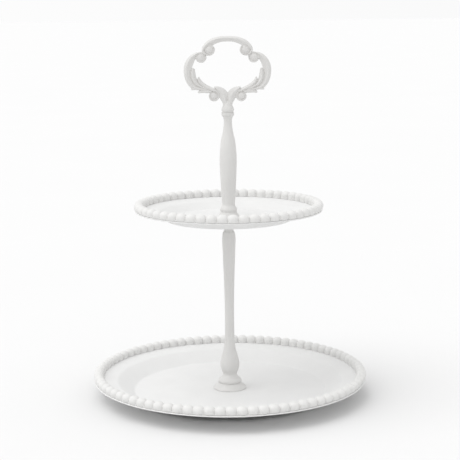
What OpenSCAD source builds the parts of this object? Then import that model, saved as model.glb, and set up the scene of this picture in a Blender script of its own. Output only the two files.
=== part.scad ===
// Two-tier cake stand: two spun metal trays with beaded rims on turned
// columns, held on one line of studs and topped by a cast scroll handle.
// Origin: centre of the stand on the surface it stands on. +Z is up.
// The front is -Y. All sizes are in millimetres.

/* [Trays] */
// Radius of the lower tray at its outer edge
lower_tray_r = 152.6; // [151.6:0.2:158]
// Radius where the lower tray's flat floor ends
lower_floor_r = 108; // [60:1:112]
// Radius where the lower tray's sloping wall meets its flange
lower_flange_r = 126; // [118:1:134]
// Height of the lower tray's flange above the table
lower_flange_z = 20; // [17:0.1:24]
// Height of the lower tray's floor above the table
lower_floor_z = 5; // [4.6:0.1:6]
// Radius of the upper tray at its outer edge
upper_tray_r = 103.6; // [103.2:0.2:110]
// Radius where the upper tray's flat floor ends
upper_floor_r = 68; // [40:1:70]
// Radius where the upper tray's sloping wall meets its flange
upper_flange_r = 80; // [74:1:86]
// Height of the upper tray's flange above the table
upper_flange_z = 210; // [207:0.1:213]
// Height of the upper tray's floor above the table
upper_floor_z = 199.5; // [198:0.1:201]
// Sheet thickness of both trays
tray_t = 1.4; // [1:0.1:2]
// Height that the flanges climb from the wall to the beads
flange_rise = 3; // [1:0.1:4]

/* [Bead borders] */
// Number of beads round the lower tray
lower_bead_count = 83; // [78:1:83]
// Radius of the circle through the lower beads' centres
lower_bead_circle_r = 147.5; // [147:0.1:148]
// Number of beads round the upper tray
upper_bead_count = 56; // [51:1:56]
// Angle from the front to the upper border's first bead
upper_bead_angle = 2.3; // [0:0.1:6.4]
// Radius of the circle through the upper beads' centres
upper_bead_circle_r = 99.3; // [99:0.1:100]
// Radius of one bead
bead_r = 5.5; // [4.5:0.1:5.5]
// Width of the strip that the beads are cast on
bead_strip_w = 7; // [5:0.5:7.5]
// Height of the beads' centres above the flange
bead_centre_h = 4; // [3.4:0.1:5]

/* [Columns] */
// Height at which the lower column starts, on its seat disc
lower_column_z0 = 11.6; // [10.5:0.1:12.5]
// Height of the joint between the upper column and the handle
handle_joint_z = 316.4; // [315:0.1:318]
// Radius of the lower seat disc
lower_seat_r = 18.6; // [15:0.1:24]
// Radius of the upper seat disc
upper_seat_r = 12.4; // [11:0.1:18]
// Height at which the upper column starts, on its seat disc
upper_column_z0 = 207; // [206:0.1:208]

/* [Handle] */
// Thickness of the handle's scrolls, front to back
scroll_t = 6.2; // [5:0.1:8]
// Depth of the step along both edges of a scroll
scroll_step = 0.9; // [0.5:0.1:1.2]
// Thickness of the central leaves, front to back
leaf_t = 8; // [6:0.2:9]
// Radius of a volute's raised eye, the button that a scroll curls round
volute_eye_r = 3.3; // [2.6:0.1:3.4]

/* [Fasteners] */
// Radius of the larger tapped holes, in both column ends at the trays
large_bore_r = 3; // [2.6:0.1:3.2]
// Radius of the tapped holes at the handle
small_bore_r = 2.5; // [2:0.1:2.7]
// Radial clearance between a stud and its hole
thread_gap = 0.05; // [0.02:0.01:0.1]
// Radius of the clearance holes in trays, washers and seat discs
clear_bore_r = 3.3; // [3.3:0.05:3.8]
// Height of the base screw's truss head
screw_head_h = 1.8; // [1.4:0.1:2]
// Radius of the base screw's truss head
screw_head_r = 6.5; // [5.5:0.1:8]

/* [Feet] */
// Number of rubber feet under the lower tray
foot_count = 4; // [4]
// Radius of one foot
foot_r = 7; // [5:0.5:10]
// Distance of the feet from the stand's axis
foot_circle_r = 92; // [70:1:96]

/* [Hidden] */
$fn = 96;
bead_fn = 48;
bore_over = 1;
flange_flat_w = 10.5;
bead_strip_h = 1.2;
seat_rim_h = 1.2;
tray_washer_t = 1.5;
tray_washer_r = 9;
base_gasket_t = 0.5;
base_gasket_r = 8;
base_washer_t = 0.6;
base_washer_r = 8.5;
large_stud_r = large_bore_r - thread_gap;
small_stud_r = small_bore_r - thread_gap;
bore_bottom_gap = 2;
screw_grip = 18;
tray_stud_grip = 10;
tray_stud_upper_grip = 20;
handle_stud_lower_grip = 8;
handle_stud_upper_grip = 9;
hex_key_r = 2;
hex_key_depth = 1.2;
foot_edge = 0.8;
upper_tray_bottom_z = upper_floor_z - tray_t;
lower_tray_bottom_z = lower_floor_z - tray_t;
lower_column_top_z = upper_tray_bottom_z - tray_washer_t;
curve_steps = 5;
scroll_steps = 3;
curl_steps = 10;
scroll_flat_share = 0.7;
volute_web_w = 1.4;
volute_web_t = 3.8;
volute_eye_rise = 0.4;
leaf_t_step = 0.3;

// Stations of the lower column's outline: [radius, height].
lower_column_line = [
    [11.4, 11.6], [12.7, 12.6], [13, 14.2], [12.1, 16], [10, 18.1], [8.2, 20.4],
    [7.9, 22.4], [9, 25], [10.3, 28.6], [10.7, 33.5], [9.8, 39], [8.2, 45.5],
    [6.5, 52], [5.6, 59], [5.3, 66], [5.2, 80], [5.2, 98], [5.4, 112], [5.7, 125],
    [6.05, 137], [6.6, 151], [7, 163], [7.3, 170], [7.45, 177], [6.7, 183],
    [5.2, 186.1], [5.4, 189], [7, 192.6], [7.6, 194.6]
];
// Stations of the upper column's outline: [radius, height].
upper_column_line = [
    [8.8, 207], [9.4, 209.3], [8.6, 211.6], [7.1, 214.4], [7.2, 218], [7.8, 227],
    [8.35, 236], [8.85, 245], [9.2, 254.5], [9.4, 261.5], [9.35, 268], [8.8, 277],
    [7.6, 286.5], [5.7, 295], [4.5, 304], [4.6, 308.5], [5.3, 311.5], [6.6, 313.2],
    [6.9, 314.6]
];
// Stations of the handle's round socket: [radius, height above its joint].
socket_line = [
    [6, 0.6], [6.85, 2.9], [6.4, 5], [5.3, 7.4], [5, 10.6]
];
// The rest of the handle is drawn for its left half. Its curves are stations of
// [x, height above the joint, half width].
arch_line = [
    [0, 80.1, 2.7], [-4.5, 80, 2.75], [-9, 79.4, 3], [-14, 77.8, 3.3],
    [-18.4, 75.7, 3.5], [-22.2, 72.9, 3.1], [-24.8, 70.2, 2.6]
];
side_line = [
    [-33.2, 63.6, 1.8], [-36.9, 60.6, 3.2], [-40.2, 56.1, 4.1], [-42.5, 50.8, 4.4],
    [-43.1, 45.2, 4.4], [-42.6, 40, 4.3], [-41.2, 35.2, 4], [-38.6, 30.8, 3.6],
    [-35.2, 28, 2.8], [-31, 26.6, 2.2]
];
strand_line = [
    [-30.7, 38.8, 0.3], [-30.8, 36.8, 1.1], [-29.4, 33.2, 2], [-25.6, 29.5, 2.2],
    [-20.6, 26.8, 2.1], [-15.4, 24.5, 1.8]
];
inner_leaf_line = [
    [-22, 26, 1.2], [-28.5, 28.6, 2.2], [-33.6, 32.2, 2.8], [-36.6, 36.8, 2.9],
    [-37.4, 41.6, 2.6], [-36.8, 45.2, 1.5], [-35.3, 47.9, 0.3]
];
outer_leaf_line = [
    [-16, 22.2, 1.7], [-21.4, 24.3, 1.7], [-27.2, 25.5, 1.5], [-32.4, 26.2, 1.4],
    [-36.6, 26.2, 1.1], [-39.7, 25.3, 0.35]
];
low_leaf_line = [
    [-16.6, 20.2, 1.9], [-21, 22.4, 1.7], [-25.2, 23.4, 1.5], [-29, 23, 1.2],
    [-32, 21.7, 0.35]
];
// Left half of the outline of the two central leaves: [x, height].
centre_leaves = [
    [0, 21.5], [-1.1, 23.2], [-4.2, 26.1], [-8.8, 27.9], [-14.5, 28.3], [-12.8, 23.6],
    [-10.7, 19.9], [-8.4, 15.9], [-6.1, 12], [-5.1, 8.2]
];
// Each volute: its eye, then the curl's start and end angle, start and end
// radius, and start and end half width.
arch_volute = [[-19.5, 68.5], [184, 370], [6.1, 4.8], [2.2, 0.8]];
side_volute = [[-29.3, 59.8], [-140, 92], [4.6, 4.95], [0.6, 1.15]];
low_volute = [[-15, 18.1], [76, -205], [5.6, 4.7], [1.45, 0.6]];
socket_neck_h = 14.6;

// Point on the Catmull-Rom curve from b to c, at t from 0 to 1.
function curve_point(a, b, c, d, t) =
    0.5 * (2 * b + (c - a) * t + (2 * a - 5 * b + 4 * c - d) * t * t
        + (3 * b - a - 3 * c + d) * t * t * t);

// Smooth curve through the stations p, with n points from one to the next.
function smooth(p, n) = [
    for (i = [0 : len(p) - 2]) for (k = [0 : n - 1])
        curve_point(p[max(i - 1, 0)], p[i], p[i + 1], p[min(i + 2, len(p) - 1)], k / n),
    p[len(p) - 1]
];

// Unit vector across the line p at point i, pointing to its left.
function across(p, i) =
    let (a = p[max(i - 1, 0)], b = p[min(i + 1, len(p) - 1)],
        d = [b[0] - a[0], b[1] - a[1]])
    [-d[1], d[0]] / norm(d);

// Stations of a curl round the eye of volute v, drawing in fast and then slowly.
function curl(v) = [
    for (i = [0 : curl_steps])
        let (t = i / curl_steps, angle = v[1][0] + (v[1][1] - v[1][0]) * t,
            r = v[2][1] + (v[2][0] - v[2][1]) * (1 - t) * (1 - t),
            half_w = v[3][0] + (v[3][1] - v[3][0]) * t)
        [v[0][0] + r * cos(angle), v[0][1] + r * sin(angle), half_w]
];

// The points p mirrored left to right, in reverse order.
function reflected(p) = [
    for (i = [len(p) - 1 : -1 : 0]) [for (k = [0 : len(p[i]) - 1]) k == 0 ? -p[i][0] : p[i][k]]
];

// The list p without its first item.
function after_first(p) = [for (i = [1 : len(p) - 1]) p[i]];

// Outline of a band along the stations p, at a share of its full width.
function band_outline(p, share) = concat(
    [for (i = [0 : len(p) - 1]) [p[i][0], p[i][1]] + across(p, i) * p[i][2] * share],
    [for (i = [len(p) - 1 : -1 : 0]) [p[i][0], p[i][1]] - across(p, i) * p[i][2] * share]
);

// Half section of a tray: floor, sloping wall, flange and outer edge.
module tray(floor_r, floor_z, flange_r, flange_z, edge_r) {
    flange_in_z = flange_z - flange_rise;
    flat_r = edge_r - flange_flat_w;
    slope = [flange_r - floor_r, flange_in_z - floor_z];
    shift = tray_t * (norm(slope) - slope[1]) / slope[0];
    rotate_extrude()
        polygon([
            [clear_bore_r, floor_z], [floor_r, floor_z], [flange_r, flange_in_z],
            [flat_r, flange_z], [edge_r, flange_z], [edge_r, flange_z - tray_t],
            [flat_r, flange_z - tray_t], [flange_r + shift, flange_in_z - tray_t],
            [floor_r + shift, floor_z - tray_t], [clear_bore_r, floor_z - tray_t]
        ]);
}

// Ring of beads on a flat strip, cut level where it lies on a tray's flange.
module bead_border(count, circle_r, flange_z, first_angle) {
    difference() {
        union() {
            rotate_extrude()
                translate([circle_r - bead_strip_w / 2, flange_z - bead_r])
                    square([bead_strip_w, bead_r + bead_strip_h]);
            for (i = [0 : count - 1])
                rotate([0, 0, first_angle + i * 360 / count])
                    translate([circle_r, 0, flange_z + bead_centre_h])
                        sphere(r = bead_r, $fn = bead_fn);
        }
        translate([0, 0, flange_z - 2 * bead_r])
            cylinder(r = circle_r + 2 * bead_r, h = 2 * bead_r);
    }
}

// Flat ring with a clearance hole.
module washer(r, z, t) {
    rotate_extrude()
        translate([clear_bore_r, z])
            square([r - clear_bore_r, t]);
}

// Conical disc that spreads a column's foot over the tray floor.
module seat_disc(foot_r, top_r, z0, z1) {
    rotate_extrude()
        polygon([
            [clear_bore_r, z0], [foot_r, z0], [foot_r, z0 + seat_rim_h],
            [top_r, z1], [clear_bore_r, z1]
        ]);
}

// Turned column from its smoothed outline, solid down to the axis.
module turned(line, z0, z1) {
    edge = smooth(line, curve_steps);
    last = edge[len(edge) - 1];
    rotate_extrude()
        polygon(concat([[0, z0], [line[0][0], z0]], edge, [[last[0], z1], [0, z1]]));
}

// Blind hole along the axis from z0 to z1.
module axis_bore(r, z0, z1) {
    translate([0, 0, z0])
        cylinder(r = r, h = z1 - z0);
}

// Upright plate, centred front to back, drawn as [x, height].
module upright_plate(t) {
    translate([0, t / 2, 0])
        rotate([90, 0, 0])
            linear_extrude(height = t)
                children();
}

// Bar of thickness t along the stations p, stepped back along both edges.
module scroll(p, t) {
    upright_plate(t - 2 * scroll_step)
        polygon(band_outline(p, 1));
    upright_plate(t)
        polygon(band_outline(p, scroll_flat_share));
}

// Thin web and raised eye inside the curl of volute v.
module volute_eye(v) {
    translate([v[0][0], 0, v[0][1]])
        rotate([90, 0, 0])
            union() {
                cylinder(r = volute_eye_r, h = scroll_t + 2 * volute_eye_rise, center = true);
                cylinder(r = volute_eye_r + volute_web_w, h = volute_web_t, center = true);
            }
}

// Left side scroll: a volute at each end, with acanthus leaves between.
module left_scroll() {
    leaves = [inner_leaf_line, outer_leaf_line, low_leaf_line];
    scroll(concat(curl(side_volute), smooth(side_line, scroll_steps)),
        scroll_t - leaf_t_step);
    upright_plate(scroll_t + 3 * leaf_t_step)
        polygon(band_outline(concat(smooth(strand_line, scroll_steps), curl(low_volute)), 1));
    for (i = [0 : len(leaves) - 1])
        upright_plate(scroll_t + i * leaf_t_step)
            polygon(band_outline(smooth(leaves[i], scroll_steps), 1));
    for (v = [arch_volute, side_volute, low_volute])
        volute_eye(v);
}

// Top arch with the curls at both of its ends.
module top_arch() {
    left = concat(smooth(arch_line, scroll_steps), curl(arch_volute));
    scroll(concat(reflected(left), after_first(left)), scroll_t);
}

module lower_tray() {
    color("white")
        tray(lower_floor_r, lower_floor_z, lower_flange_r, lower_flange_z, lower_tray_r);
}

module lower_bead_border() {
    color("whitesmoke")
        bead_border(lower_bead_count, lower_bead_circle_r, lower_flange_z, -90);
}

module upper_tray() {
    color("white")
        tray(upper_floor_r, upper_floor_z, upper_flange_r, upper_flange_z, upper_tray_r);
}

module upper_bead_border() {
    color("whitesmoke")
        bead_border(upper_bead_count, upper_bead_circle_r, upper_flange_z,
            -90 + upper_bead_angle);
}

module foot(i) {
    foot_h = lower_tray_bottom_z;
    color("gainsboro")
        rotate([0, 0, 45 + i * 360 / foot_count])
            translate([foot_circle_r, 0, 0])
                rotate_extrude()
                    polygon([
                        [0, 0], [foot_r - foot_edge, 0], [foot_r, foot_edge],
                        [foot_r, foot_h], [0, foot_h]
                    ]);
}

module base_gasket() {
    color("silver")
        washer(base_gasket_r, lower_tray_bottom_z - base_gasket_t, base_gasket_t);
}

module base_washer() {
    color("lightgray")
        washer(base_washer_r, lower_tray_bottom_z - base_gasket_t - base_washer_t,
            base_washer_t);
}

module base_screw() {
    head_top = lower_tray_bottom_z - base_gasket_t - base_washer_t;
    head_bottom = head_top - screw_head_h;
    color("lightgray")
        difference() {
            union() {
                translate([0, 0, head_top - screw_head_h / 2])
                    cylinder(r = screw_head_r, h = screw_head_h / 2);
                translate([0, 0, head_bottom])
                    cylinder(r1 = screw_head_r / 2, r2 = screw_head_r, h = screw_head_h / 2);
                axis_bore(large_stud_r, head_bottom + screw_head_h / 2,
                    lower_column_z0 + screw_grip);
            }
            translate([0, 0, head_bottom - bore_over])
                cylinder(r = hex_key_r, h = hex_key_depth + bore_over, $fn = 6);
        }
}

module lower_seat_disc() {
    color("white")
        seat_disc(lower_seat_r, lower_column_line[1][0], lower_floor_z, lower_column_z0);
}

module lower_column() {
    color("white")
        difference() {
            turned(lower_column_line, lower_column_z0, lower_column_top_z);
            axis_bore(large_bore_r, lower_column_z0 - bore_over,
                lower_column_z0 + screw_grip + bore_bottom_gap);
            axis_bore(large_bore_r, lower_column_top_z - tray_stud_grip - bore_bottom_gap,
                lower_column_top_z + bore_over);
        }
}

module tray_washer() {
    color("silver")
        washer(tray_washer_r, lower_column_top_z, tray_washer_t);
}

module tray_stud() {
    color("lightgray")
        axis_bore(large_stud_r, lower_column_top_z - tray_stud_grip,
            upper_column_z0 + tray_stud_upper_grip);
}

module upper_seat_disc() {
    color("white")
        seat_disc(upper_seat_r, upper_column_line[0][0], upper_floor_z, upper_column_z0);
}

module upper_column() {
    color("white")
        difference() {
            turned(upper_column_line, upper_column_z0, handle_joint_z);
            axis_bore(large_bore_r, upper_column_z0 - bore_over,
                upper_column_z0 + tray_stud_upper_grip + bore_bottom_gap);
            axis_bore(small_bore_r, handle_joint_z - handle_stud_lower_grip - bore_bottom_gap,
                handle_joint_z + bore_over);
        }
}

module handle_stud() {
    color("lightgray")
        axis_bore(small_stud_r, handle_joint_z - handle_stud_lower_grip,
            handle_joint_z + handle_stud_upper_grip);
}

module handle() {
    color("white")
        translate([0, 0, handle_joint_z])
            difference() {
                union() {
                    turned(socket_line, 0, socket_neck_h);
                    top_arch();
                    upright_plate(leaf_t)
                        polygon(concat(centre_leaves, reflected(after_first(centre_leaves))));
                    left_scroll();
                    mirror([1, 0, 0])
                        left_scroll();
                }
                axis_bore(small_bore_r, -bore_over,
                    handle_stud_upper_grip + bore_bottom_gap);
            }
}

lower_tray();
lower_bead_border();
foot(1);  // foot_1
foot(2);  // foot_2
foot(3);  // foot_3
foot(4);  // foot_4
base_screw();
base_washer();
base_gasket();
lower_seat_disc();
lower_column();
tray_washer();
tray_stud();
upper_tray();
upper_bead_border();
upper_seat_disc();
upper_column();
handle_stud();
handle();
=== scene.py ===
"""Looks of a two-tier cake stand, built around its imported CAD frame.

Outlines are in millimetres in the CAD frame and become metres when a mesh is
made. Every piece made here rides on the CAD body that it belongs to.
"""

import math
import random

import bpy
import numpy as np
from mathutils import Matrix, Vector


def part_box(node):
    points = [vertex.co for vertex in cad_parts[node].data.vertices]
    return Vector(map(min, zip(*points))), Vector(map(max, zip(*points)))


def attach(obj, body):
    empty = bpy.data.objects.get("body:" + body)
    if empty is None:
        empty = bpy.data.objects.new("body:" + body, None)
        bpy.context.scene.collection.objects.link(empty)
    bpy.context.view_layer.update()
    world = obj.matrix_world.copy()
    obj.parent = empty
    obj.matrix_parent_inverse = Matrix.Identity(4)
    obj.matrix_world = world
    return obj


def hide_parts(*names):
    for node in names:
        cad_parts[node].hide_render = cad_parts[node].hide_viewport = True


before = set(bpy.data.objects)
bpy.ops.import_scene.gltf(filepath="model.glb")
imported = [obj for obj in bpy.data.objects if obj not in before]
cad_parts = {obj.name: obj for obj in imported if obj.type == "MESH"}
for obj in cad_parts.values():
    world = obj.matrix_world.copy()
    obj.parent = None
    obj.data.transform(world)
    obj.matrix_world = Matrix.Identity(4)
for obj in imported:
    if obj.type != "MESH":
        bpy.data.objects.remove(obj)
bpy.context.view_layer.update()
MM = 0.001

# ---------------------------------------------------------------- dimensions
# Both trays share one section: floor, sloping wall and a rising flange.
TRAY_SHEET = 1.4
HUB_HOLE_R = 3.3
TRAYS = {
    "lower_tray": {"floor_r": 108.0, "wall_r": 126.0, "floor_z": 5.0},
    "upper_tray": {"floor_r": 68.0, "wall_r": 80.0, "floor_z": 199.5},
}
FLANGE_RISE = 3.0
FLANGE_FLAT = 10.5
RIM_FILLET = TRAY_SHEET * 0.48
LONGEST_FACE = 12.0

# Beads are domes on short upright sides, and stand on a low web. The place of the
# first bead is in degrees. Beads differ a little in size and lean.
BORDERS = {
    "lower_bead_border": {"count": 83, "circle_r": 147.5, "first": -89.65},
    "upper_bead_border": {"count": 56, "circle_r": 99.3, "first": -87.4},
}
BEAD_R = 5.45
BEAD_DOME = 4.9
BEAD_CENTRE_H = 4.0
BEAD_TUCK = 0.24
BEAD_LENGTH_OVER_PITCH = 1.06
BEAD_FULLNESS = 2.1
BEAD_SEAM_SHARE = 0.42
BEAD_SHRINK = 0.02
BEAD_LEAN = 0.06
WEB_HALF_WIDTH = 3.4
WEB_TOP = 1.2

# Studs, and the blind holes that they screw into.
M6_PITCH = 1.0
M5_PITCH = 0.8
THREAD_DEPTH_OVER_PITCH = 0.6
STUD_GAP = 0.05
BORE_END_GAP = 2.0
BORE_CHAMFER = 0.3

# The lowest millimetre of the lower column is at least this wide, and the seat
# discs stand this far clear of what is under them.
LOWER_FOOT_R = 12.3
SEAT_LIFT = 0.02


def box_mm(node):
    """Lowest and highest corner of a CAD node, in millimetres."""
    low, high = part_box(node)
    return low / MM, high / MM


STUD_R = box_mm("tray_stud")[1].x + STUD_GAP
SMALL_R = box_mm("handle_stud")[1].x + STUD_GAP


# -------------------------------------------------------------- mesh helpers
def add_mesh(name, points, faces, crease=40.0):
    """A smooth-shaded object from points in millimetres."""
    mesh = bpy.data.meshes.new(name)
    mesh.from_pydata([Vector(p) * MM for p in points], [], faces)
    mesh.validate()
    mesh.shade_smooth()
    mesh.set_sharp_from_angle(angle=math.radians(crease))
    piece = bpy.data.objects.new(name, mesh)
    bpy.context.scene.collection.objects.link(piece)
    return piece


def tube_faces(rings, around):
    """Faces of a tube of equal rings of points, with a flat face at each end."""
    faces = []
    for i in range(rings - 1):
        for k in range(around):
            n = (k + 1) % around
            faces.append((i * around + k, i * around + n,
                          (i + 1) * around + n, (i + 1) * around + k))
    faces.append(tuple(reversed(range(around))))
    faces.append(tuple(range((rings - 1) * around, rings * around)))
    return faces


def circle_points(radius, height, count):
    """Points of a level circle round the axis, from the +X side anticlockwise."""
    points = []
    for k in range(count):
        angle = 2 * math.pi * k / count
        points.append((radius * math.cos(angle), radius * math.sin(angle), height))
    return points


def rounded(corners, steps=6):
    """Polyline through (x, y, fillet radius) corners, with arcs at the fillets."""
    line = []
    count = len(corners)
    for i, (x, y, fillet) in enumerate(corners):
        here = Vector((x, y))
        if fillet == 0 or i in (0, count - 1):
            line.append((x, y))
            continue
        back = (Vector(corners[i - 1][:2]) - here).normalized()
        ahead = (Vector(corners[i + 1][:2]) - here).normalized()
        half = back.angle(ahead) / 2
        reach = fillet / math.tan(half)
        centre = here + (back + ahead).normalized() * fillet / math.sin(half)
        start = here + back * reach - centre
        end = here + ahead * reach - centre
        turn = start.angle(end)
        for k in range(steps + 1):
            share = k / steps
            blend = start * math.sin(turn * (1 - share)) + end * math.sin(turn * share)
            line.append(tuple(centre + blend / math.sin(turn)))
    return line


def lathe(name, outline, segments, crease):
    """Turns an outline of (radius, height) about Z. Points on the axis close it;
    an outline that stays off the axis is joined end to start."""
    rings, points, faces = [], [], []
    for radius, height in outline:
        first = len(points)
        if radius < 1e-6:
            points.append((0, 0, height))
            rings.append([first] * segments)
            continue
        points += circle_points(radius, height, segments)
        rings.append(list(range(first, first + segments)))
    pairs = list(zip(rings, rings[1:]))
    if outline[0][0] > 1e-6:
        pairs.append((rings[-1], rings[0]))
    for low, high in pairs:
        for k in range(segments):
            n = (k + 1) % segments
            loop = [low[k], low[n], high[n], high[k]]
            loop = [v for i, v in enumerate(loop) if v != loop[i - 1]]
            if len(loop) > 2:
                faces.append(loop)
    return add_mesh(name, points, faces, crease)


def outer_outline(node, inside_r):
    """(radius, height) of the rings of a turned CAD node that lie outside
    inside_r, from the bottom up."""
    widest = {}
    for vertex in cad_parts[node].data.vertices:
        x, y, z = vertex.co / MM
        radius = math.hypot(x, y)
        if radius > inside_r:
            key = round(z, 2)
            widest[key] = max(widest.get(key, 0), radius)
    return [(widest[z], z) for z in sorted(widest)]


def catmull(line, steps):
    """Smooth curve through the tuples of line, with steps points per span."""
    out = []
    last = len(line) - 1
    for i in range(last):
        a, b, c, d = (Vector(line[min(max(k, 0), last)]) for k in range(i - 1, i + 3))
        for k in range(steps):
            t = k / steps
            out.append(tuple(
                0.5 * (2 * b + (c - a) * t + (2 * a - 5 * b + 4 * c - d) * t**2
                       + (3 * b - a - 3 * c + d) * t**3)
            ))
    out.append(tuple(line[-1]))
    return out


# ----------------------------------------------------------------- materials
def map_range(tree, value, start, end, low, high):
    """Output of a node that goes from low to high as value goes from start to end."""
    node = tree.nodes.new("ShaderNodeMapRange")
    node.inputs["From Min"].default_value = start
    node.inputs["From Max"].default_value = end
    node.inputs["To Min"].default_value = low
    node.inputs["To Max"].default_value = high
    tree.links.new(value, node.inputs["Value"])
    return node.outputs["Result"]


class Shader:
    """A material with one Principled shader and object coordinates in metres."""

    def __init__(self, name):
        self.material = bpy.data.materials.new(name)
        self.material.use_nodes = True
        self.tree = self.material.node_tree
        self.bsdf = self.tree.nodes["Principled BSDF"]
        self.place = self.tree.nodes.new("ShaderNodeTexCoord").outputs["Object"]

    def join(self, output, target):
        self.tree.links.new(output, target)

    def noise(self, size_mm, detail=2.0, stretch=(1, 1, 1)):
        """Noise whose features are about size_mm across."""
        scale = self.tree.nodes.new("ShaderNodeMapping")
        scale.inputs["Scale"].default_value = [s / (size_mm * MM) for s in stretch]
        self.join(self.place, scale.inputs["Vector"])
        node = self.tree.nodes.new("ShaderNodeTexNoise")
        node.inputs["Scale"].default_value = 1.0
        node.inputs["Detail"].default_value = detail
        self.join(scale.outputs["Vector"], node.inputs["Vector"])
        return node.outputs["Fac"]

    def ramp(self, fac, low, high, start=0.3, end=0.7):
        """Blends from low to high as fac goes from start to end."""
        node = self.tree.nodes.new("ShaderNodeValToRGB")
        first, last = node.color_ramp.elements
        first.position, first.color = start, (*low, 1)
        last.position, last.color = end, (*high, 1)
        self.join(fac, node.inputs["Fac"])
        return node.outputs["Color"]

    def multiply(self, a, b, amount):
        """Colour a darkened by colour b, by a share of amount."""
        node = self.tree.nodes.new("ShaderNodeMix")
        node.data_type = "RGBA"
        node.blend_type = "MULTIPLY"
        node.inputs["Factor"].default_value = amount
        self.join(a, node.inputs["A"])
        self.join(b, node.inputs["B"])
        return node.outputs["Result"]

    def spread(self, fac, low, high):
        """A number that goes from low to high as fac goes from 0.25 to 0.75."""
        return map_range(self.tree, fac, 0.25, 0.75, low, high)

    def bump(self, height, strength, depth_mm, below=None):
        """Normal of a surface with this height, on top of the bumps below."""
        node = self.tree.nodes.new("ShaderNodeBump")
        node.inputs["Strength"].default_value = strength
        node.inputs["Distance"].default_value = depth_mm * MM
        self.join(height, node.inputs["Height"])
        if below is not None:
            self.join(below, node.inputs["Normal"])
        return node.outputs["Normal"]


def powder_coat(name, tint, hollow_shade=0.0, ripple_mm=28.0):
    """White powder coat with faint mottling, orange peel and pinhead grain. A shade
    amount above 0 paints shade into the colour where the piece is hollow, deepest in its
    grooves."""
    s = Shader(name)
    cloud = s.noise(ripple_mm, 3.0)
    grain = s.noise(0.45, 2.0)
    darker = tuple(c * 0.965 for c in tint)
    colour = s.ramp(cloud, darker, tint, 0.25, 0.75)
    speckle = s.ramp(grain, (0.955, 0.955, 0.95), (1, 1, 1), 0.3, 0.48)
    colour = s.multiply(colour, speckle, 0.7)
    # Painted shade: the colour darkens with the depth of the hollow, in place of the shade that
    # falls in the grooves.
    if hollow_shade > 0:
        stored = s.tree.nodes.new("ShaderNodeAttribute")
        stored.attribute_name = "hollow"
        hollow = s.ramp(stored.outputs["Fac"], (1, 1, 1), (0.82, 0.805, 0.785), 0.0, 0.5)
        colour = s.multiply(colour, hollow, hollow_shade)
    s.join(colour, s.bsdf.inputs["Base Color"])
    s.join(s.spread(s.noise(7.0, 3.0), 0.46, 0.60), s.bsdf.inputs["Roughness"])
    peel = s.bump(s.noise(2.2, 1.0), 0.5, 0.02)
    fine = s.bump(grain, 0.35, 0.012, peel)
    s.join(fine, s.bsdf.inputs["Normal"])
    s.bsdf.inputs["Specular IOR Level"].default_value = 0.42
    return s.material


def zinc_steel(name):
    """Bright zinc plating with fine turning marks and a slight yellow bloom."""
    s = Shader(name)
    bloom = s.noise(4.0, 3.0)
    colour = s.ramp(bloom, (0.60, 0.59, 0.55), (0.74, 0.74, 0.75), 0.3, 0.7)
    s.join(colour, s.bsdf.inputs["Base Color"])
    s.bsdf.inputs["Metallic"].default_value = 1.0
    turning = s.noise(0.25, 2.0, stretch=(0.05, 0.05, 1))
    s.join(s.spread(turning, 0.24, 0.42), s.bsdf.inputs["Roughness"])
    s.join(s.bump(turning, 0.3, 0.01), s.bsdf.inputs["Normal"])
    return s.material


def white_rubber(name):
    """Soft off-white rubber with a matt moulded grain."""
    s = Shader(name)
    colour = s.ramp(s.noise(3.0, 3.0), (0.66, 0.66, 0.64), (0.78, 0.78, 0.76), 0.3, 0.7)
    s.join(colour, s.bsdf.inputs["Base Color"])
    s.join(s.spread(s.noise(0.8), 0.68, 0.85), s.bsdf.inputs["Roughness"])
    s.join(s.bump(s.noise(0.4), 0.4, 0.03), s.bsdf.inputs["Normal"])
    return s.material


# One white powder coat covers the trays, beads, columns and handle; the tints differ only as
# painted light. The trays' white is lighter, as painted light for the light that falls on them
# from above. The columns' and handle's white is darker, as painted shade on their upright sides.
# The beads' white is a little darker than the trays', as painted shade on their bright tops. The
# handle's paint also has painted shade in its hollows.
TOP_LIT_WHITE = (0.78, 0.78, 0.775)
BEAD_SHADED_WHITE = (0.755, 0.752, 0.742)
UPRIGHT_SHADED_WHITE = (0.69, 0.684, 0.672)
TRAY_PAINT = powder_coat("tray_powder_coat", TOP_LIT_WHITE)
BEAD_PAINT = powder_coat("bead_powder_coat", BEAD_SHADED_WHITE, ripple_mm=16.0)
COLUMN_PAINT = powder_coat("column_powder_coat", UPRIGHT_SHADED_WHITE, ripple_mm=18.0)
HANDLE_PAINT = powder_coat("handle_powder_coat", UPRIGHT_SHADED_WHITE, hollow_shade=1.0, ripple_mm=12.0)
STEEL = zinc_steel("zinc_plated_steel")
RUBBER = white_rubber("white_rubber")


def dress(piece, material, slot, body, *nodes):
    """Gives a new piece its material and body, and hides what it replaces. The slot argument is
    not used.
    """
    piece.data.materials.clear()
    piece.data.materials.append(material)
    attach(piece, body)
    if nodes:
        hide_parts(*nodes)
    return piece


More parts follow.
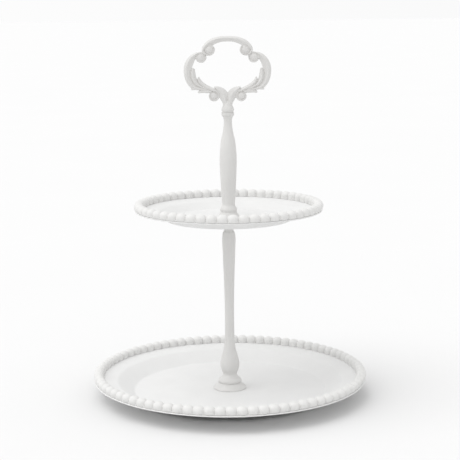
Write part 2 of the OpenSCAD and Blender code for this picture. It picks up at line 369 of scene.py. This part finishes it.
# --------------------------------------------------------------------- trays
def tray(node, body):
    """Spun tray: crisp floor crease, eased flange and a rounded edge."""
    high = box_mm(node)[1]
    size = TRAYS[node]
    floor_z, wall_r, floor_r = size["floor_z"], size["wall_r"], size["floor_r"]
    flange_z, edge_r = high.z, high.x
    wall_z = flange_z - FLANGE_RISE
    flat_r = edge_r - FLANGE_FLAT
    slope = Vector((wall_r - floor_r, wall_z - floor_z))
    shift = TRAY_SHEET * (slope.length - slope.y) / slope.x
    under = floor_z - TRAY_SHEET
    section = rounded([
        (HUB_HOLE_R, under, 0), (HUB_HOLE_R, floor_z, 0),
        (floor_r, floor_z, 6.0), (wall_r, wall_z, 12.0), (flat_r, flange_z, 6.0),
        (edge_r, flange_z, RIM_FILLET), (edge_r, flange_z - TRAY_SHEET, RIM_FILLET),
        (flat_r, flange_z - TRAY_SHEET, 6.0), (wall_r + shift, wall_z - TRAY_SHEET, 11.0),
        (floor_r + shift, under, 7.0), (HUB_HOLE_R + 0.01, under, 0),
    ])
    spread = []
    for a, b in zip(section, section[1:]):
        parts = max(1, round((Vector(b) - Vector(a)).length / LONGEST_FACE))
        spread += [tuple(Vector(a).lerp(Vector(b), k / parts)) for k in range(parts)]
    piece = lathe(node + "_sheet", spread, 288, crease=50.0)
    return dress(piece, TRAY_PAINT, "tray_paint", body, node)


# -------------------------------------------------------------- bead borders
def bead_reach(angle, share):
    """Distance from the middle of the web to the skin, in one section of a bead:
    a smooth maximum of the bead's own outline and the web's. The share is 1 at
    the bead's middle and falls towards its ends."""
    half, dome = BEAD_R * share, BEAD_DOME * share

    def inside(x, z):
        if z >= BEAD_CENTRE_H:
            return (x / half)**2 + ((z - BEAD_CENTRE_H) / dome)**2 <= 1
        depth = (BEAD_CENTRE_H - z) / BEAD_CENTRE_H
        return z >= 0 and -half <= x <= half * (1 - BEAD_TUCK * depth**2)

    near, far = 0.0, 20.0
    for _ in range(24):
        middle = (near + far) / 2
        x, z = middle * math.cos(angle), WEB_TOP / 2 + middle * math.sin(angle)
        near, far = (middle, far) if inside(x, z) else (near, middle)
    across = abs(math.cos(angle)) / WEB_HALF_WIDTH
    along = abs(math.sin(angle)) / (WEB_TOP / 2)
    web = (across**6 + along**6) ** (-1 / 6)
    return (near**14 + web**14) ** (1 / 14)


def bead_border(node, body, along=16, around=36):
    """One closed skin of beads that stand on a low web."""
    size = BORDERS[node]
    low = box_mm(node)[0]
    circle_r, count = size["circle_r"], size["count"]
    pitch = 2 * math.pi * circle_r / count
    half_length = pitch / 2 * BEAD_LENGTH_OVER_PITCH
    turns = [2 * math.pi * (j + 0.5) / around for j in range(around)]
    sections = []
    for k in range(along):
        place = math.sin(math.pi * (k / along - 0.5)) / BEAD_LENGTH_OVER_PITCH
        share = (1 - abs(place)**BEAD_FULLNESS) ** (1 / BEAD_FULLNESS)
        share = (share**6 + BEAD_SEAM_SHARE**6 * (1 - share**6)) ** (1 / 6)
        sections.append((half_length * place, share,
                         [bead_reach(turn, share) for turn in turns]))
    chance = random.Random(7)
    points, faces = [], []
    for bead in range(count):
        middle = math.radians(size["first"]) + 2 * math.pi * bead / count
        shrink = BEAD_SHRINK * chance.random()
        lean = chance.uniform(-BEAD_LEAN, BEAD_LEAN)
        for offset, share, reaches in sections:
            turn = middle + offset / circle_r
            for angle, reach in zip(turns, reaches):
                reach *= 1 - shrink * share
                radius = circle_r + min(reach * math.cos(angle) + lean * share, BEAD_R)
                height = low.z + max(WEB_TOP / 2 + reach * math.sin(angle), 0)
                points.append((radius * math.cos(turn), radius * math.sin(turn), height))
    rings = count * along
    for i in range(rings):
        for j in range(around):
            a, b = i * around, (i + 1) % rings * around
            n = (j + 1) % around
            faces.append((a + j, b + j, b + n, a + n))
    piece = add_mesh(node + "_cast", points, faces, crease=75.0)
    return dress(piece, BEAD_PAINT, "bead_paint", body, node)


# ------------------------------------------------------------------- columns
def bore_depth(stud, node, top):
    """Depth of a column's hole, which ends a little past the end of its stud."""
    stud_low, stud_high = box_mm(stud)
    low, high = box_mm(node)
    reach = high.z - stud_low.z if top else stud_high.z - low.z
    return reach + BORE_END_GAP


def column(node, body, low_bore, high_bore, foot_r=0.0):
    """Turned column with the blind holes that its studs screw into. A bore is
    (radius, depth). The lowest millimetre is at least foot_r wide."""
    low, high = box_mm(node)
    edge = outer_outline(node, low_bore[0] + 0.6)
    edge = [(max(r, foot_r) if z < low.z + 1 else r, z) for r, z in edge]
    edge = catmull(edge, 2)
    outline = [
        (0, low.z + low_bore[1]), (low_bore[0], low.z + low_bore[1]),
        (low_bore[0], low.z + BORE_CHAMFER), (low_bore[0] + BORE_CHAMFER, low.z), *edge,
        (high_bore[0] + BORE_CHAMFER, high.z), (high_bore[0], high.z - BORE_CHAMFER),
        (high_bore[0], high.z - high_bore[1]), (0, high.z - high_bore[1]),
    ]
    piece = lathe(node + "_turned", outline, 144, crease=55.0)
    return dress(piece, COLUMN_PAINT, "column_paint", body, node)


def seat_disc(node, body):
    """Conical foot disc with eased edges."""
    low, high = box_mm(node)
    rings = outer_outline(node, HUB_HOLE_R + 1)
    foot_r = high.x
    rim_z = [z for r, z in rings if abs(r - foot_r) < 0.05][-1]
    top_r = rings[-1][0]
    base_z = low.z + SEAT_LIFT
    outline = rounded([
        (HUB_HOLE_R, base_z, 0), (foot_r, base_z, 0.15), (foot_r, rim_z, 0.5),
        (top_r, high.z, 0.6), (HUB_HOLE_R, high.z, 0),
    ])
    piece = lathe(node + "_turned", outline, 144, crease=50.0)
    return dress(piece, COLUMN_PAINT, "column_paint", body, node)


# ------------------------------------------------------------------- details
def foot(node, body):
    """Moulded rubber foot with a domed tread and a shallow ring groove."""
    low, high = box_mm(node)
    centre = (low + high) / 2
    radius, height = (high.x - low.x) / 2, high.z - low.z
    outline = rounded([
        (0, 0.5, 0), (radius * 0.25, 0.45, 0.8), (radius * 0.36, 0.0, 0.5),
        (radius * 0.88, 0.0, 0.8), (radius, 1.1, 1.0), (radius, height, 0.2), (0, height, 0),
    ])
    piece = lathe(node + "_pad", outline, 64, crease=50.0)
    piece.data.transform(Matrix.Translation(Vector((centre.x, centre.y, 0)) * MM))
    return dress(piece, RUBBER, "rubber", body, node)


def threaded_stud(node, body, pitch):
    """Stud with a real helical thread between two chamfered ends."""
    low, high = box_mm(node)
    major = high.x
    depth = pitch * THREAD_DEPTH_OVER_PITCH
    per_turn, per_pitch = 40, 6
    steps = int((high.z - low.z) / pitch * per_pitch)
    points = []
    for i in range(steps + 1):
        height = low.z + (high.z - low.z) * i / steps
        end = min(height - low.z, high.z - height)
        for k in range(per_turn):
            angle = 2 * math.pi * k / per_turn
            phase = (height / pitch - k / per_turn) % 1
            ridge = min(1.0, 2.4 * abs(phase - 0.5))
            radius = major - depth * ridge
            radius = min(radius, major - depth + max(end, 0) * 0.9)
            points.append((radius * math.cos(angle), radius * math.sin(angle), height))
    piece = add_mesh(node + "_threaded", points, tube_faces(steps + 1, per_turn), 25.0)
    return dress(piece, STEEL, "zinc_steel", body, node)


# -------------------------------------------------------------------- handle
# Paths are (x, height, half width) on the left half; the right half mirrors it.
# Each half has three curls, and each curl turns round a domed eye that a thin
# web joins to it. A dome's points are (share of the radius, share of the depth),
# and a web's are (radius, depth); a depth is measured from the middle plane.
BAND_DEPTH = 3.7
CREST_DEPTH = BAND_DEPTH + 0.2
EYE_R = 3.95
EYE_DOME = [(0.35, 0.975), (0.6, 0.92), (0.8, 0.82), (0.94, 0.66), (1.0, 0.4)]
EYE_WEB = [(0.3, 2.6), (EYE_R + 0.9, 2.6), (EYE_R + 1.2, 1.4)]
ARCH_EYE = (-19.5, 384.9)
SIDE_EYE = (-29.3, 376.2)
LOW_EYE = (-15.0, 334.5)
CASTING_VOXEL = 0.25
# HOLLOW_ROUNDS sets how broad a hollow is measured, and so how wide the painted shade in the
# handle's grooves spreads.
EVENING_ROUNDS, HOLLOW_ROUNDS = 14, 60

# Sections run from the outer edge, at +1, to the inner edge, at -1, as
# (place across, share of the depth).
BAND_SECTION = [
    (1.0, 0.25), (0.98, 0.4), (0.9, 0.5), (0.52, 0.88), (0.4, 0.97), (0.3, 1.0),
    (0.18, 0.95), (-0.2, 0.75), (-0.6, 0.56), (-0.84, 0.5), (-0.97, 0.42), (-1.0, 0.25),
]
ROLL_SECTION = [
    (1.0, 0.3), (0.92, 0.55), (0.6, 0.84), (0.15, 1.0), (-0.35, 0.93), (-0.78, 0.66),
    (-1.0, 0.35),
]
LEAF_SECTION = [
    (1.0, 0.3), (0.93, 0.5), (0.5, 0.82), (0.14, 1.0), (0.0, 1.0), (-0.45, 0.7),
    (-0.9, 0.45), (-1.0, 0.3),
]
ROOF_SECTION = [
    (1.0, 0.3), (0.92, 0.5), (0.45, 0.8), (0.08, 1.0), (-0.08, 1.0), (-0.5, 0.72),
    (-0.92, 0.48), (-1.0, 0.3),
]


def sweep(path, section, depth, flip):
    """Points and faces of a bar that follows path in the XZ plane. Its section is
    the same on the front and the back, and it thins where the path is narrow. A
    flip of 1 puts the outer edge on the left of the path, and -1 on the right."""
    loop = section + [(u, -v) for u, v in reversed(section)]
    points = []
    for i, (x, z, half) in enumerate(path):
        a, b = path[max(i - 1, 0)], path[min(i + 1, len(path) - 1)]
        along = Vector((b[0] - a[0], b[1] - a[1])).normalized()
        across = Vector((-along.y, along.x)) * flip
        thick = depth * min(1.0, 0.45 + 0.55 * half / 1.4)
        for u, v in loop:
            points.append((x + across.x * u * half, -v * thick, z + across.y * u * half))
    faces = tube_faces(len(path), len(loop))
    if flip > 0:
        faces = [tuple(reversed(face)) for face in faces]
    return points, faces


def curl(eye, rim):
    """Path of a curl round an eye, from (degrees, outer radius, inner radius)."""
    path = []
    for degrees, outer_r, inner_r in catmull(rim, 8):
        angle = math.radians(degrees)
        radius = (outer_r + inner_r) / 2
        half = (outer_r - inner_r) / 2
        path.append((eye[0] + radius * math.cos(angle), eye[1] + radius * math.sin(angle), half))
    return path


def boss(eye, profile, segments=48):
    """Round boss about the Y axis from (radius, depth) points, front and back."""
    outline = profile + [(r, -d) for r, d in reversed(profile)]
    points = []
    for r, d in outline:
        for k in range(segments):
            a = 2 * math.pi * k / segments
            points.append((eye[0] + r * math.cos(a), -d, eye[1] + r * math.sin(a)))
    faces = tube_faces(len(outline), segments)
    return points, [tuple(reversed(face)) for face in faces]


def left_shells():
    """Closed shells of the left half of the casting."""
    arch = catmull([
        (1.5, 396.2, 2.95), (-4.5, 396.1, 3.0), (-9.0, 395.5, 3.2), (-14.0, 394.0, 3.45),
        (-18.4, 391.9, 3.6), (-22.2, 389.1, 3.2), (-24.8, 386.5, 2.7),
    ], 8) + curl(ARCH_EYE, [(182, 8.35, 4.7), (225, 7.5, 4.7), (270, 6.9, 4.6),
                            (315, 6.4, 4.4), (360, 6.1, 3.9), (402, 5.6, 3.3)])
    side = curl(SIDE_EYE, [(-170, 5.1, 3.3), (-90, 5.7, 4.0), (-30, 6.4, 4.5), (10, 6.7, 4.6),
                           (50, 6.5, 4.6), (92, 6.1, 4.3)]) + catmull([
        (-33.2, 379.9, 2.0), (-36.9, 376.9, 3.3), (-40.2, 372.5, 4.2), (-42.5, 367.2, 4.5),
        (-43.1, 361.6, 4.5), (-42.6, 356.4, 4.4), (-41.2, 351.6, 4.1), (-38.6, 347.2, 3.7),
        (-35.2, 344.4, 2.9), (-31.0, 343.0, 2.3),
    ], 8)
    strand = catmull([
        (-31.1, 355.2, 0.6), (-31.2, 353.0, 1.5), (-29.7, 349.5, 2.3), (-25.7, 345.9, 2.4),
        (-20.6, 343.2, 2.2), (-15.4, 340.9, 1.9),
    ], 8) + curl(LOW_EYE, [(72, 7.6, 4.5), (40, 6.9, 4.6), (0, 6.2, 4.5), (-45, 6.0, 4.4),
                           (-90, 5.9, 4.2), (-135, 5.8, 3.9), (-180, 5.6, 3.6),
                           (-208, 5.3, 3.3)])
    lobes = [
        ([(-22, 342.4, 1.2), (-28.5, 345.0, 2.2), (-33.6, 348.6, 2.8), (-36.6, 353.2, 2.9),
          (-37.4, 358.0, 2.8), (-37.2, 361.4, 2.2), (-36.9, 363.5, 1.6),
          (-36.5, 364.7, 0.6)], LEAF_SECTION, 4.0),
        ([(-20.6, 341.0, 1.2), (-23.6, 341.4, 1.7), (-27.6, 342.0, 1.8), (-32.4, 342.7, 1.7),
          (-36.4, 342.7, 1.5), (-38.8, 342.1, 1.2), (-39.9, 341.7, 0.5)], ROLL_SECTION, 3.4),
        ([(-17.4, 339.4, 1.3), (-19.4, 339.6, 1.9), (-22.2, 339.5, 1.9), (-25.4, 339.7, 1.8),
          (-29.0, 339.5, 1.6), (-31.2, 338.8, 1.3), (-32.3, 338.2, 0.5)], ROLL_SECTION, 3.6),
        ([(-2.0, 322.0, 2.8), (-2.4, 327.0, 3.2), (-3.2, 331.5, 4.5), (-4.7, 335.9, 5.1),
          (-7.4, 339.4, 4.4), (-10.8, 342.2, 2.9), (-14.3, 344.5, 0.6)], ROOF_SECTION, 4.2),
    ]
    shells = [
        sweep(arch, BAND_SECTION, BAND_DEPTH, -1),
        sweep(side, BAND_SECTION, BAND_DEPTH, -1),
        sweep(strand, ROLL_SECTION, CREST_DEPTH, 1),
    ]
    for line, section, depth in lobes:
        shells.append(sweep(catmull(line, 8), section, depth, 1))
    dome = [(0.2, CREST_DEPTH)] + [(r * EYE_R, d * CREST_DEPTH) for r, d in EYE_DOME]
    for eye in (ARCH_EYE, SIDE_EYE, LOW_EYE):
        shells.append(boss(eye, dome))
        shells.append(boss(eye, EYE_WEB))
    return shells


def socket_shell(low_z):
    """Round socket and neck that the scrolls spring from."""
    profile = catmull([
        (6.1, low_z), (6.15, low_z + 0.8), (6.85, low_z + 2.9), (6.4, low_z + 5.2),
        (5.3, low_z + 7.4), (4.7, low_z + 9.4), (3.9, low_z + 11.6), (2.5, low_z + 13.8),
    ], 6)
    segments = 64
    points = []
    for radius, height in profile:
        points += circle_points(radius, height, segments)
    return points, tube_faces(len(profile), segments)


def modified(piece):
    """Applies every modifier of a piece, in order."""
    graph = bpy.context.evaluated_depsgraph_get()
    baked = bpy.data.meshes.new_from_object(piece.evaluated_get(graph))
    piece.modifiers.clear()
    piece.data = baked
    return piece


def relax(points, pairs, amount):
    """Moves every point part of the way to the mean of its neighbours."""
    count = np.bincount(pairs.ravel(), minlength=len(points))[:, None]
    total = np.zeros_like(points)
    for axis in range(3):
        total[:, axis] = (
            np.bincount(pairs[:, 0], points[pairs[:, 1], axis], len(points))
            + np.bincount(pairs[:, 1], points[pairs[:, 0], axis], len(points)))
    return points + amount * (total / np.maximum(count, 1) - points)


def polish(piece, rounds, hollow_rounds):
    """Evens out a fused mesh without shrinking it, and stores how deep in a hollow
    each point lies, in millimetres, as an attribute; the handle's paint darkens with it as
    painted shade."""
    mesh = piece.data
    points = np.empty(len(mesh.vertices) * 3)
    mesh.vertices.foreach_get("co", points)
    points = points.reshape(-1, 3)
    pairs = np.empty(len(mesh.edges) * 2, dtype=np.int32)
    mesh.edges.foreach_get("vertices", pairs)
    pairs = pairs.reshape(-1, 2)
    for _ in range(rounds):
        points = relax(relax(points, pairs, 0.55), pairs, -0.57)
    mesh.vertices.foreach_set("co", points.ravel())
    mesh.update()
    normals = np.empty(len(mesh.vertices) * 3)
    mesh.vertices.foreach_get("normal", normals)
    soft = points
    for _ in range(hollow_rounds):
        soft = relax(soft, pairs, 0.8)
    hollow = ((soft - points) * normals.reshape(-1, 3)).sum(axis=1) / MM
    for _ in range(4):
        hollow = relax(np.repeat(hollow[:, None], 3, axis=1), pairs, 0.6)[:, 0]
    stored = mesh.attributes.new("hollow", "FLOAT", "POINT")
    stored.data.foreach_set("value", hollow.astype(np.float32))
    mesh.shade_smooth()


def drill(piece, radius, low_z, high_z):
    """Cuts a round hole along the axis."""
    bpy.ops.mesh.primitive_cylinder_add(
        vertices=64, radius=radius * MM, depth=(high_z - low_z) * MM,
        location=(0, 0, (low_z + high_z) / 2 * MM))
    tool = bpy.context.object
    cut = piece.modifiers.new("drill", "BOOLEAN")
    cut.operation = "DIFFERENCE"
    cut.solver = "MANIFOLD"
    cut.object = tool
    modified(piece)
    bpy.data.objects.remove(tool)


def handle():
    """Scroll casting: its shells fuse on a fine grid and are then evened out."""
    low = box_mm("handle")[0]
    points, faces = [], []
    shells = [(socket_shell(low.z), 1)]
    for shell in left_shells():
        shells += [(shell, 1), (shell, -1)]
    for (shell_points, shell_faces), side in shells:
        first = len(points)
        points += [(side * x, y, z) for x, y, z in shell_points]
        for face in shell_faces:
            loop = [first + v for v in face]
            faces.append(loop if side > 0 else loop[::-1])
    casting = add_mesh("handle_casting", points, faces)
    fuse = casting.modifiers.new("fuse", "REMESH")
    fuse.mode = "VOXEL"
    fuse.voxel_size = CASTING_VOXEL * MM
    polish(modified(casting), EVENING_ROUNDS, HOLLOW_ROUNDS)
    drill(casting, SMALL_R, low.z - 1, box_mm("handle_stud")[1].z + BORE_END_GAP)
    return dress(casting, HANDLE_PAINT, "handle_paint", "handle", "handle")


# ------------------------------------------------------------------ assembly
tray("lower_tray", "base_tier")
tray("upper_tray", "upper_tier")
bead_border("lower_bead_border", "base_tier")
bead_border("upper_bead_border", "upper_tier")
column("lower_column", "lower_post",
       (STUD_R, bore_depth("base_screw", "lower_column", False)),
       (STUD_R, bore_depth("tray_stud", "lower_column", True)), LOWER_FOOT_R)
column("upper_column", "upper_post",
       (STUD_R, bore_depth("tray_stud", "upper_column", False)),
       (SMALL_R, bore_depth("handle_stud", "upper_column", True)))
seat_disc("lower_seat_disc", "lower_post")
seat_disc("upper_seat_disc", "upper_post")
for i in range(1, 5):
    foot(f"foot_{i}", "base_tier")
threaded_stud("tray_stud", "tray_stud", M6_PITCH)
threaded_stud("handle_stud", "handle_stud", M5_PITCH)
handle()

# These small CAD parts are shown as they are, in steel or rubber.
for node, material in (("base_screw", STEEL), ("base_washer", STEEL),
                       ("base_gasket", RUBBER), ("tray_washer", RUBBER)):
    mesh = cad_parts[node].data
    mesh.materials.clear()
    mesh.materials.append(material)


# --------------------------------------------------------------------- stage
FLOOR_TINT = (0.80, 0.80, 0.80)
# The backdrop's strength at the horizon and overhead, and what it is multiplied
# by on the left and on the right.
HORIZON, ROOM = 0.965, 0.93
LEFT_GAIN, RIGHT_GAIN = 1.05, 0.95
# The key light comes from KEY_SOURCE, spread over KEY_SPREAD degrees.
KEY_SOURCE = (-0.45, -0.15, 0.88)
KEY_SPREAD = 55
KEY_STRENGTH = 1.05
# The camera's place is in metres, its turns in degrees and its lens in millimetres.
CAMERA_PLACE = (0, -1.417, 0.4257)
CAMERA_TILT, CAMERA_PAN, CAMERA_ROLL = 9.6, 0.055, -0.475
CAMERA_LENS = 101.3


def floor():
    """Pale studio floor, wide enough to meet the background at the horizon."""
    bpy.ops.mesh.primitive_grid_add(x_subdivisions=2, y_subdivisions=2, size=120)
    ground = bpy.context.object
    ground.name = "floor"
    s = Shader("pale_floor")
    s.join(s.ramp(s.noise(400.0), FLOOR_TINT, tuple(c * 1.006 for c in FLOOR_TINT)),
           s.bsdf.inputs["Base Color"])
    s.bsdf.inputs["Roughness"].default_value = 1.0
    s.bsdf.inputs["Specular IOR Level"].default_value = 0.0
    ground.data.materials.append(s.material)


def soft_sun(name, source, spread, strength):
    """Even light from a direction, spread over an angle in degrees."""
    lamp = bpy.data.lights.new(name, "SUN")
    lamp.energy = strength
    lamp.angle = math.radians(spread)
    item = bpy.data.objects.new(name, lamp)
    item.rotation_euler = (-Vector(source)).to_track_quat("-Z", "Y").to_euler()
    bpy.context.scene.collection.objects.link(item)


def studio():
    """White surroundings, brighter at the horizon and on the left, with one broad
    light from above."""
    scene = bpy.context.scene
    world = bpy.data.worlds.new("studio")
    world.use_nodes = True
    tree = world.node_tree
    sky = tree.nodes["Background"]
    sky.inputs["Color"].default_value = (1.0, 1.0, 1.0, 1)
    direction = tree.nodes.new("ShaderNodeTexCoord").outputs["Generated"]
    parts = tree.nodes.new("ShaderNodeSeparateXYZ")
    tree.links.new(direction, parts.inputs["Vector"])
    height = map_range(tree, parts.outputs["Z"], 0.08, 0.35, HORIZON, ROOM)
    side = map_range(tree, parts.outputs["X"], -0.9, 0.9, LEFT_GAIN, RIGHT_GAIN)
    strength = tree.nodes.new("ShaderNodeMath")
    strength.operation = "MULTIPLY"
    tree.links.new(height, strength.inputs[0])
    tree.links.new(side, strength.inputs[1])
    tree.links.new(strength.outputs["Value"], sky.inputs["Strength"])
    scene.world = world
    scene.view_settings.view_transform = "Standard"
    soft_sun("key", KEY_SOURCE, KEY_SPREAD, KEY_STRENGTH)


def camera():
    """Long lens a little above the handle, tilted down, with a slight roll."""
    lens = bpy.data.cameras.new("camera")
    lens.sensor_width = 36.0
    lens.lens = CAMERA_LENS
    eye = bpy.data.objects.new("camera", lens)
    tilt, pan, roll = map(math.radians, (CAMERA_TILT, CAMERA_PAN, CAMERA_ROLL))
    turn = (Matrix.Rotation(-pan, 4, "Z") @ Matrix.Rotation(math.pi / 2 - tilt, 4, "X")
            @ Matrix.Rotation(roll, 4, "Z"))
    eye.matrix_world = Matrix.Translation(CAMERA_PLACE) @ turn
    lens.clip_start, lens.clip_end = 0.01, 200
    bpy.context.scene.collection.objects.link(eye)
    bpy.context.scene.camera = eye


floor()
studio()
camera()
